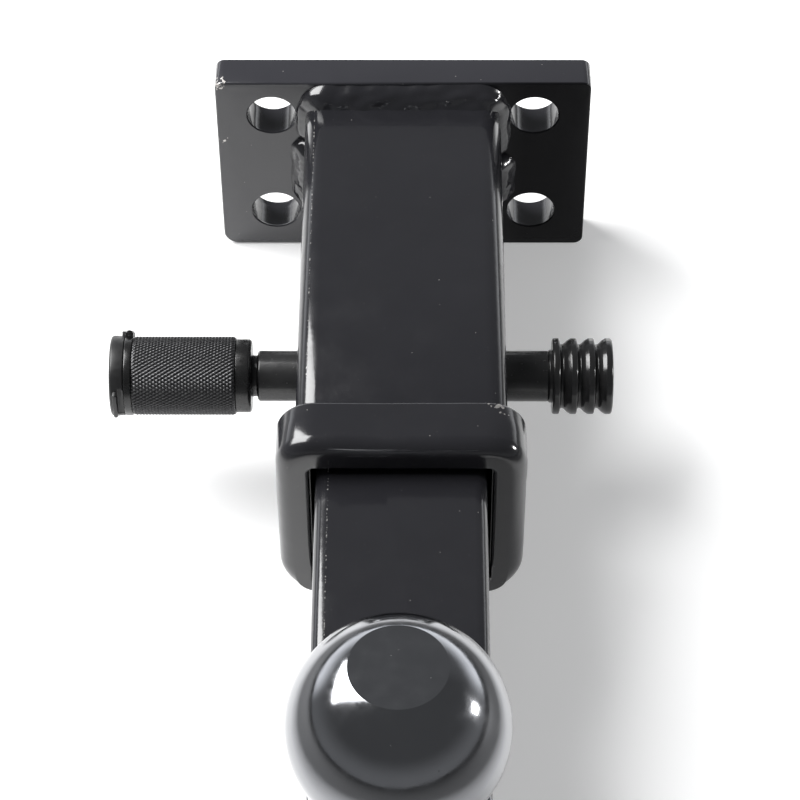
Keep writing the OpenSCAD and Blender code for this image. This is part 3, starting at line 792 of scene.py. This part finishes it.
def inset_loop(span, inset, y):
    """One loop of a slab's outline, drawn in from its edge."""
    size_x, size_z = span.size.x - 2 * inset, span.size.z - 2 * inset
    return inset_rows(size_x, size_z, span.mid, [SHANK_CORNER] * 4, y, y, 0.01 * mm)[0]


def threaded(spot, low, high, pitch, depth):
    """Pulls a point of a round bar in, to cut a thread between two heights."""
    if not low < spot.z < high:
        return spot
    turn = math.atan2(spot.y, spot.x) / (2 * math.pi)
    wave = abs(2 * ((spot.z / pitch - turn) % 1.0) - 1)
    fade = min(1.0, (spot.z - low) / pitch, (high - spot.z) / pitch)
    radius = math.hypot(spot.x, spot.y)
    scale = (radius - depth * fade * min(1.0, wave * 1.25)) / radius
    return Vector((spot.x * scale, spot.y * scale, spot.z))


def build_ball():
    """Ball, waist, flange with two wrench flats and threaded stud, turned as one forging."""
    ball_r = ball.size.x / 2
    centre_z = ball.high.z - math.sqrt(ball_r ** 2 - BALL_FLAT_R ** 2)
    seat_z = shank.high.z
    start, stop = math.asin(BALL_FLAT_R / ball_r), math.pi - math.asin(WAIST_R / ball_r)
    steps = 56
    arc = [start + (stop - start) * k / steps for k in range(steps + 1)]
    corners = [(0, ball.high.z)]
    corners += [(ball_r * math.sin(a), centre_z + ball_r * math.cos(a)) for a in arc]
    flange_z = seat_z + FLANGE_T
    corners += [(WAIST_R, flange_z), (FLANGE_R, flange_z), (FLANGE_R, seat_z), (STUD_R, seat_z)]
    radii = [0, 0.5 * mm] + [0] * (steps - 1) + [2.5 * mm, 3.5 * mm, 1 * mm, 1 * mm, 0]
    profile = fillet(corners, radii, 8)
    thread_top = shank.low.z - 1 * mm
    length = thread_top - ball.low.z
    rows = round(length / (THREAD_PITCH / 8))
    profile += [(STUD_R, thread_top - length * k / rows) for k in range(rows)]
    profile += [(STUD_R - 0.5 * mm, ball.low.z + 0.4 * mm), (STUD_R - 1.6 * mm, ball.low.z), (0, ball.low.z)]

    def shape(spot):
        """Cuts the flange's wrench flats and the stud's thread."""
        if seat_z - 0.1 * mm < spot.z < seat_z + FLANGE_T + 0.1 * mm and abs(spot.y) > FLAT_HALF:
            return Vector((spot.x, math.copysign(FLAT_HALF, spot.y), spot.z))
        return threaded(spot, ball.low.z + 0.5 * mm, thread_top, THREAD_PITCH, 1.1 * mm)

    bm = lathed(profile, 144, shape=shape)
    return make("ball", bm, "ball_mount", chrome, ["hitch_ball"], ball_axis())


def build_washer():
    """Spring washer, split by a slanted gap."""
    outer, inner = washer.size.x / 2, STUD_R + STUD_ROOM
    low, high = washer.low.z, washer.high.z
    outline = fillet([(inner, low), (outer, low), (outer, high), (inner, high)], [0.8 * mm] * 4, 4)
    slant, first, turn = (math.radians(a) for a in (10, -5, 346))
    rows = []
    steps = 120
    for k in range(steps + 1):
        row = []
        for p in outline:
            lean = slant * ((p.y - low) / (high - low) - 0.5)
            t = first + lean - turn * k / steps
            row.append(Vector((p.x * math.cos(t), p.x * math.sin(t), p.y)))
        rows.append(row)
    return make("split_washer", swept(rows), "ball_mount", zinc, ["spring_washer"],
                ball_axis())


def build_nut():
    """Heavy hex nut with chamfered corners; its bore is plain, in short rings, with a lead-in at both ends.
    Its points face along Y, a twelfth of a turn from the CAD nut's, which face along X."""
    half_flats, low, high = nut.size.y / 2, nut.low.z, nut.high.z
    slope = math.tan(math.radians(60))
    steps, rise = 180, 1.9 * mm
    heights = [low + rise * k / 10 for k in range(11)] + [high - rise * (10 - k) / 10 for k in range(11)]
    rows = []
    for z in heights:
        cone = half_flats - 0.4 * mm + min(z - low, high - z) * slope
        row = []
        for k in range(steps):
            t = 2 * math.pi * k / steps
            across = ((t + math.pi / 6) % (math.pi / 3)) - math.pi / 6
            hexagon = half_flats / math.cos(across)
            radius = min(hexagon, cone)
            row.append(Vector((radius * math.cos(t), radius * math.sin(t), z)))
        rows.append(row)
    bore, lead_in = STUD_R + 0.1 * mm, 1.2 * mm
    short = round((high - low) / (THREAD_PITCH / 4))
    rows.append(circle(bore + lead_in, high, steps))
    for k in range(short + 1):
        rows.append(circle(bore, high - lead_in - (high - low - 2 * lead_in) * k / short, steps))
    rows.append(circle(bore + lead_in, low, steps))
    return make("nut", swept(rows, capped=False), "ball_mount", zinc, ["ball_nut"],
                ball_axis(), sharp=24)


# ---- Hitch pin ----

def turned(name, corners, radii, body, finish, replaced, closed=False, arc=5):
    """Turned piece on the pin's axis, from (radius, station) corners, each rounded to its radius."""
    bm = lathed(fillet(corners, radii, arc), closed=closed)
    return make(name, bm, body, finish, replaced, pin_axis())


def build_pin():
    """Rod with a spigot for the knob, and a thinner neck with the latch's groove."""
    end = -pin.low.x
    knob_face, spigot_end = -knob.low.x, -pin.high.x
    groove_end = GROOVE_X + GROOVE_W
    corners = [(0, spigot_end), (SPIGOT_R, spigot_end), (SPIGOT_R, knob_face), (PIN_R, knob_face),
               (PIN_R, SHOULDER), (NECK_R, SHOULDER), (NECK_R, GROOVE_X), (GROOVE_R, GROOVE_X),
               (GROOVE_R, groove_end), (NECK_R, groove_end), (NECK_R, end), (0, end)]
    radii = [0, 0.3 * mm, 0, 0.4 * mm, 0.9 * mm, 0.4 * mm, 0.3 * mm, 0.3 * mm, 0.3 * mm, 0.3 * mm, 1 * mm, 0]
    return turned("pin_rod", corners, radii, "pin", pin_black, ["hitch_pin"])


def build_knob():
    """Knob with a small step ring, three finger grooves and rounded ribs.
    Each groove is steeper on the side of the tube."""
    face, end, outer = knob.low.x, knob.high.x, knob.size.y / 2
    step = face + STEP_RING_T
    floor = outer - RIB_DEPTH
    socket = face + 15.2 * mm
    corners = [(0, -socket), (SPIGOT_R, -socket), (SPIGOT_R, -face), (STEP_RING_R, -face),
               (STEP_RING_R, -step), (outer, -step)]
    radii = [0, 0, 0, 0.4 * mm, 0, 0.7 * mm]
    for i in range(3):
        start = face + END_RIB + 0.55 * mm + i * RIB_PITCH
        corners += [(outer, -start), (floor, -(start + 0.5 * mm)), (floor, -(start + 1.3 * mm)),
                    (outer - 0.7 * mm, -(start + 2.5 * mm)), (outer, -(start + 3.7 * mm))]
        radii += [0.45 * mm, 0.3 * mm, 0.8 * mm, 1.5 * mm, 0.6 * mm]
    corners += [(outer, -end), (0, -end)]
    radii += [0.9 * mm, 0]
    return turned("knob", corners, radii, "pin", knob_black, ["ribbed_knob"], arc=6)


# ---- Lock ----

def build_barrel():
    """Tube with a diamond knurl: two crossing families of grooves leave rows of small pyramids."""
    start, end, outer = -barrel.high.x, -barrel.low.x, barrel.size.y / 2
    samples = 8
    around, along = KNURL_AROUND * samples, KNURL_ALONG * samples
    depth, edge = KNURL_DEPTH, 0.2 * mm
    bm = bmesh.new()
    relief = bm.verts.layers.float.new("relief")
    rings = []
    for i in range(along + 1):
        station = start + edge + (end - start - 2 * edge) * i / along
        fade = min(1.0, i / 2, (along - i) / 2)
        ring = []
        for k in range(around):
            one = abs(2 * ((k + i) / samples % 1.0) - 1)
            two = abs(2 * ((k - i) / samples % 1.0) - 1)
            height = min(1.0, 1.12 * min(1 - one, 0.3 + 0.7 * (1 - two)))
            radius = outer - depth * (1 - height * fade)
            t = 2 * math.pi * k / around
            vert = bm.verts.new((radius * math.cos(t), radius * math.sin(t), station))
            vert[relief] = height
            ring.append(vert)
        rings.append(ring)
    root, rim = outer - depth, outer - depth - 0.2 * mm
    for radius, station in ((root, end - 0.1 * mm), (rim, end), (BARREL_BORE, end),
                            (BARREL_BORE, start), (rim, start), (root, start + 0.1 * mm)):
        rings.append([bm.verts.new(spot) for spot in circle(radius, station, around)])
    skin(bm, rings, along=True)
    return make("knurled_barrel", bm, "pin_lock", knurl_black, ["lock_barrel"],
                pin_axis(), sharp=50)


def build_nose():
    """Ring at the lock's mouth, with a spigot that is pushed into the barrel."""
    start, face, end = -nose.high.x, -barrel.high.x, -nose.low.x
    outer, spigot = nose.size.y / 2, BARREL_BORE - BORE_ROOM
    corners = [(NOSE_BORE, start), (outer, start), (outer, face), (spigot, face), (spigot, end),
               (NOSE_BORE, end)]
    return turned("nose_cap", corners, [0.5 * mm, 1.1 * mm, 0.3 * mm, 0, 0.2 * mm, 0.2 * mm], "pin_lock",
                  ring_black, ["nose_ring"], closed=True)


def lock_place():
    """Like pin_axis, turned so that local X points at the lid's hinge."""
    clock = math.atan2(pin.mid.y - hinge.mid.y, hinge.mid.z - pin.mid.z)
    return (Matrix.Translation((0, pin.mid.y, pin.mid.z)) @ Matrix.Rotation(clock, 4, "X")
            @ Matrix.Rotation(-math.pi / 2, 4, "Y"))


def knuckle(y0, y1, radius, rise, station):
    """Rounded hinge knuckle along local Y, at that rise above the axis."""
    edge = 0.35 * mm
    profile = fillet([(0, y0), (radius, y0), (radius, y1), (0, y1)], [0, edge, edge, 0], 4)
    bm = lathed(profile, 32)
    bm.transform(Matrix.Translation((rise, 0, station)) @ Matrix.Rotation(-math.pi / 2, 4, "X"))
    return bm


def block(x0, x1, y0, y1, z0, z1, edge=0.2 * mm):
    """Softened block between corners."""
    loops = []
    for z, inward in ((z0, 1), (z1, -1)):
        bends = [(edge, z), (edge * 0.3, z + inward * edge * 0.3), (0, z + inward * edge)]
        for inset, level in bends if inward > 0 else bends[::-1]:
            corners = [(x0 + inset, y0 + inset), (x1 - inset, y0 + inset), (x1 - inset, y1 - inset),
                       (x0 + inset, y1 - inset)]
            loops.append([Vector((p.x, p.y, level)) for p in fillet(corners, [edge] * 4, 3)])
    return swept(loops)


def build_seat():
    """Ring that closes the barrel, with a spigot inside it and two hinge knuckles."""
    start, end, outer = -barrel.low.x, LID_FACE - 0.1 * mm, SEAT_R
    spigot, deep = BARREL_BORE - BORE_ROOM, -seat.high.x
    corners = [(SEAT_BORE, deep), (spigot, deep), (spigot, start), (outer, start), (outer, end),
               (SEAT_BORE, end)]
    profile = fillet(corners, [0, 0.2 * mm, 0, 0.35 * mm, 0.45 * mm, 0.3 * mm], 5)
    bm = lathed(profile, closed=True)
    rise, station = HINGE_RISE, -hinge.mid.x
    for y0, y1 in ((-4 * mm, -2 * mm), (2 * mm, 4 * mm)):
        foot = block(outer - 1.4 * mm, rise, y0 + 0.1 * mm, y1 - 0.1 * mm, station - 1.2 * mm,
                     station + 1.2 * mm)
        lug = combined(knuckle(y0, y1, KNUCKLE_R, rise, station), foot, "UNION")
        bm = combined(bm, lug, "UNION")
    return make("lid_seat", bm, "pin_lock", ring_black, ["cap_seat"], lock_place())


def build_lid():
    """Dust lid: raised rim round a low dome, hollow plug boss, hinge knuckle, and a tab over a notch."""
    face, end, outer = LID_FACE, -lid.low.x, LID_R
    boss, recess = 8.6 * mm, 7.6 * mm
    floor = face + 2.4 * mm
    corners = [(0, floor), (recess, floor), (recess, face - 1.4 * mm), (boss, face - 1.4 * mm), (boss, face),
               (outer - 0.25 * mm, face), (outer, face + 2.4 * mm), (outer, end), (10.6 * mm, end),
               (10.2 * mm, end - 0.45 * mm), (0, end - 0.1 * mm)]
    radii = [0, 0.3 * mm, 0.2 * mm, 0.3 * mm, 0.2 * mm, 0.35 * mm, 0, 1.1 * mm, 0.4 * mm, 0.4 * mm, 0]
    bm = lathed(fillet(corners, radii, 6))
    turn = Matrix.Rotation(math.pi + TAB_CLOCK, 4, "Z")
    notch = block(outer - 1.5 * mm, outer + 2 * mm, -5.2 * mm, 6.5 * mm, face - 1 * mm, TAB_LOW)
    notch.transform(turn)
    bm = combined(bm, notch, "DIFFERENCE")
    tab = block(outer - 2 * mm, TAB_REACH, -5 * mm, 5 * mm, TAB_LOW, TAB_HIGH, 0.35 * mm)
    tab.transform(turn)
    bm = combined(bm, tab, "UNION")
    rise, station = HINGE_RISE, -hinge.mid.x
    bm = combined(bm, knuckle(-1.85 * mm, 1.85 * mm, KNUCKLE_R, rise, station), "UNION")
    arm = block(rise - 1 * mm, rise + 1 * mm, -1.7 * mm, 1.7 * mm, station, face + 1 * mm)
    bm = combined(bm, arm, "UNION")
    return make("lid_cap", bm, "lid", plastic, ["dust_lid"], lock_place())


# ---- Assembly ----

build_plate()
build_tube()
build_welds()
build_collar()
build_shank()
build_end_plug()
build_ball()
build_washer()
build_nut()
build_pin()
build_knob()
build_barrel()
build_nose()
build_seat()
build_lid()

# CAD nodes that stay as they are and only get a finish
CARRIED = {"stud_sleeve": zinc, "nose_seal": seal_rubber, "lock_housing": lock_alloy,
           "latch_slide": bright_steel, "key_plug": lock_brass, "wafer_tumblers": lock_brass,
           "plug_clip": bright_steel, "lid_hinge_pin": bright_steel}
for node, finish in CARRIED.items():
    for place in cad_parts[node].material_slots:
        place.material = finish


# ---- Floor and light ----

def make_floor():
    """Pale floor that touches the plate's lower edge and the stud's end, as the object lies on it.
    It carries painted light: a faint glow that lifts its shadows, and a painted pool of light whose colour
    and glow fade to dark away from the object."""
    back_spot = Vector((0, plate.low.y, plate.low.z))
    front_spot = Vector((0, ball.mid.y, ball.low.z))
    slope = math.atan2(back_spot.z - front_spot.z, back_spot.y - front_spot.y)
    bm = bmesh.new()
    reach = 3.0
    bm.faces.new([bm.verts.new((x * reach, y * reach, 0)) for x, y in ((-1, -1), (1, -1), (1, 1), (-1, 1))])
    mesh = bpy.data.meshes.new("floor")
    bm.to_mesh(mesh)
    bm.free()
    floor = bpy.data.objects.new("floor", mesh)
    backwards, below = 108 * mm, 0.2 * mm
    floor.matrix_world = (Matrix.Translation((back_spot + front_spot) / 2) @ Matrix.Rotation(slope, 4, "X")
                          @ Matrix.Translation((0, backwards, -below)))
    bpy.context.collection.objects.link(floor)
    # The floor's faint glow is painted light that lifts its shadows.
    pale = Finish("pale_floor", Specular_IOR_Level=0.1, Roughness=0.8, Emission_Strength=0.24)
    away = pale.nodes.new("ShaderNodeVectorMath")
    away.operation = "LENGTH"
    pale.links.new(pale.stretched((1.9, 1, 1)), away.inputs[0])
    # Painted pool of light: colour and glow fade to dark away from the object.
    fade = pale.span(away.outputs["Value"], 0.35, 0.62)
    near = pale.mix(pale.noise(200 * mm), (0.86, 0.86, 0.86), (0.89, 0.89, 0.89))
    pale.set("Base Color", pale.mix(fade, near, (0.2, 0.2, 0.2)))
    pale.set("Emission Color", pale.mix(fade, (1, 1, 1), (0.1, 0.1, 0.1)))
    mesh.materials.append(pale.material)


def soft_light(name, spot, aim, size, power):
    """White rectangular lamp at a spot, turned towards the aim; size in metres, power in watts."""
    data = bpy.data.lights.new(name, "AREA")
    data.shape = "RECTANGLE"
    data.size, data.size_y = size
    data.energy = power
    light = bpy.data.objects.new(name, data)
    light.location = spot
    light.rotation_euler = (Vector(aim) - Vector(spot)).to_track_quat("-Z", "Y").to_euler()
    bpy.context.collection.objects.link(light)


def studio_world():
    """A dim room, a little lighter round the horizon, with a bright backdrop low down behind the object."""
    world = bpy.data.worlds.new("studio")
    world.use_nodes = True
    nodes, links = world.node_tree.nodes, world.node_tree.links
    split = nodes.new("ShaderNodeSeparateXYZ")
    links.new(nodes.new("ShaderNodeTexCoord").outputs["Generated"], split.inputs[0])

    def ramp(axis, low, high, a, b):
        """Turns softly from a to b as the view direction's axis value goes from low to high."""
        node = nodes.new("ShaderNodeMapRange")
        node.interpolation_type = "SMOOTHSTEP"
        links.new(split.outputs[axis], node.inputs["Value"])
        for socket, number in (("From Min", low), ("From Max", high), ("To Min", a), ("To Max", b)):
            node.inputs[socket].default_value = number
        return node.outputs["Result"]

    total = nodes.new("ShaderNodeMath")
    total.operation = "MULTIPLY_ADD"
    links.new(ramp("Z", 0.02, 0.35, 1.0, 0.035), total.inputs[0])
    links.new(ramp("Y", 0.3, 0.62, 0.0, 2.0), total.inputs[1])
    links.new(ramp("Z", 0.0, 0.4, 0.3, 0.13), total.inputs[2])
    back = nodes["Background"]
    back.inputs["Color"].default_value = (0.95, 0.97, 1, 1)
    links.new(total.outputs[0], back.inputs["Strength"])
    bpy.context.scene.world = world


make_floor()
studio_world()
soft_light("key", (-0.74, 0.13, 0.9), (0, -0.15, 0), (0.85, 0.85), 30)
soft_light("right_lamp", (0.95, -0.15, 0.27), (0, -0.15, 0), (0.1, 0.1), 4.0)
bpy.context.scene.view_settings.view_transform = "Standard"
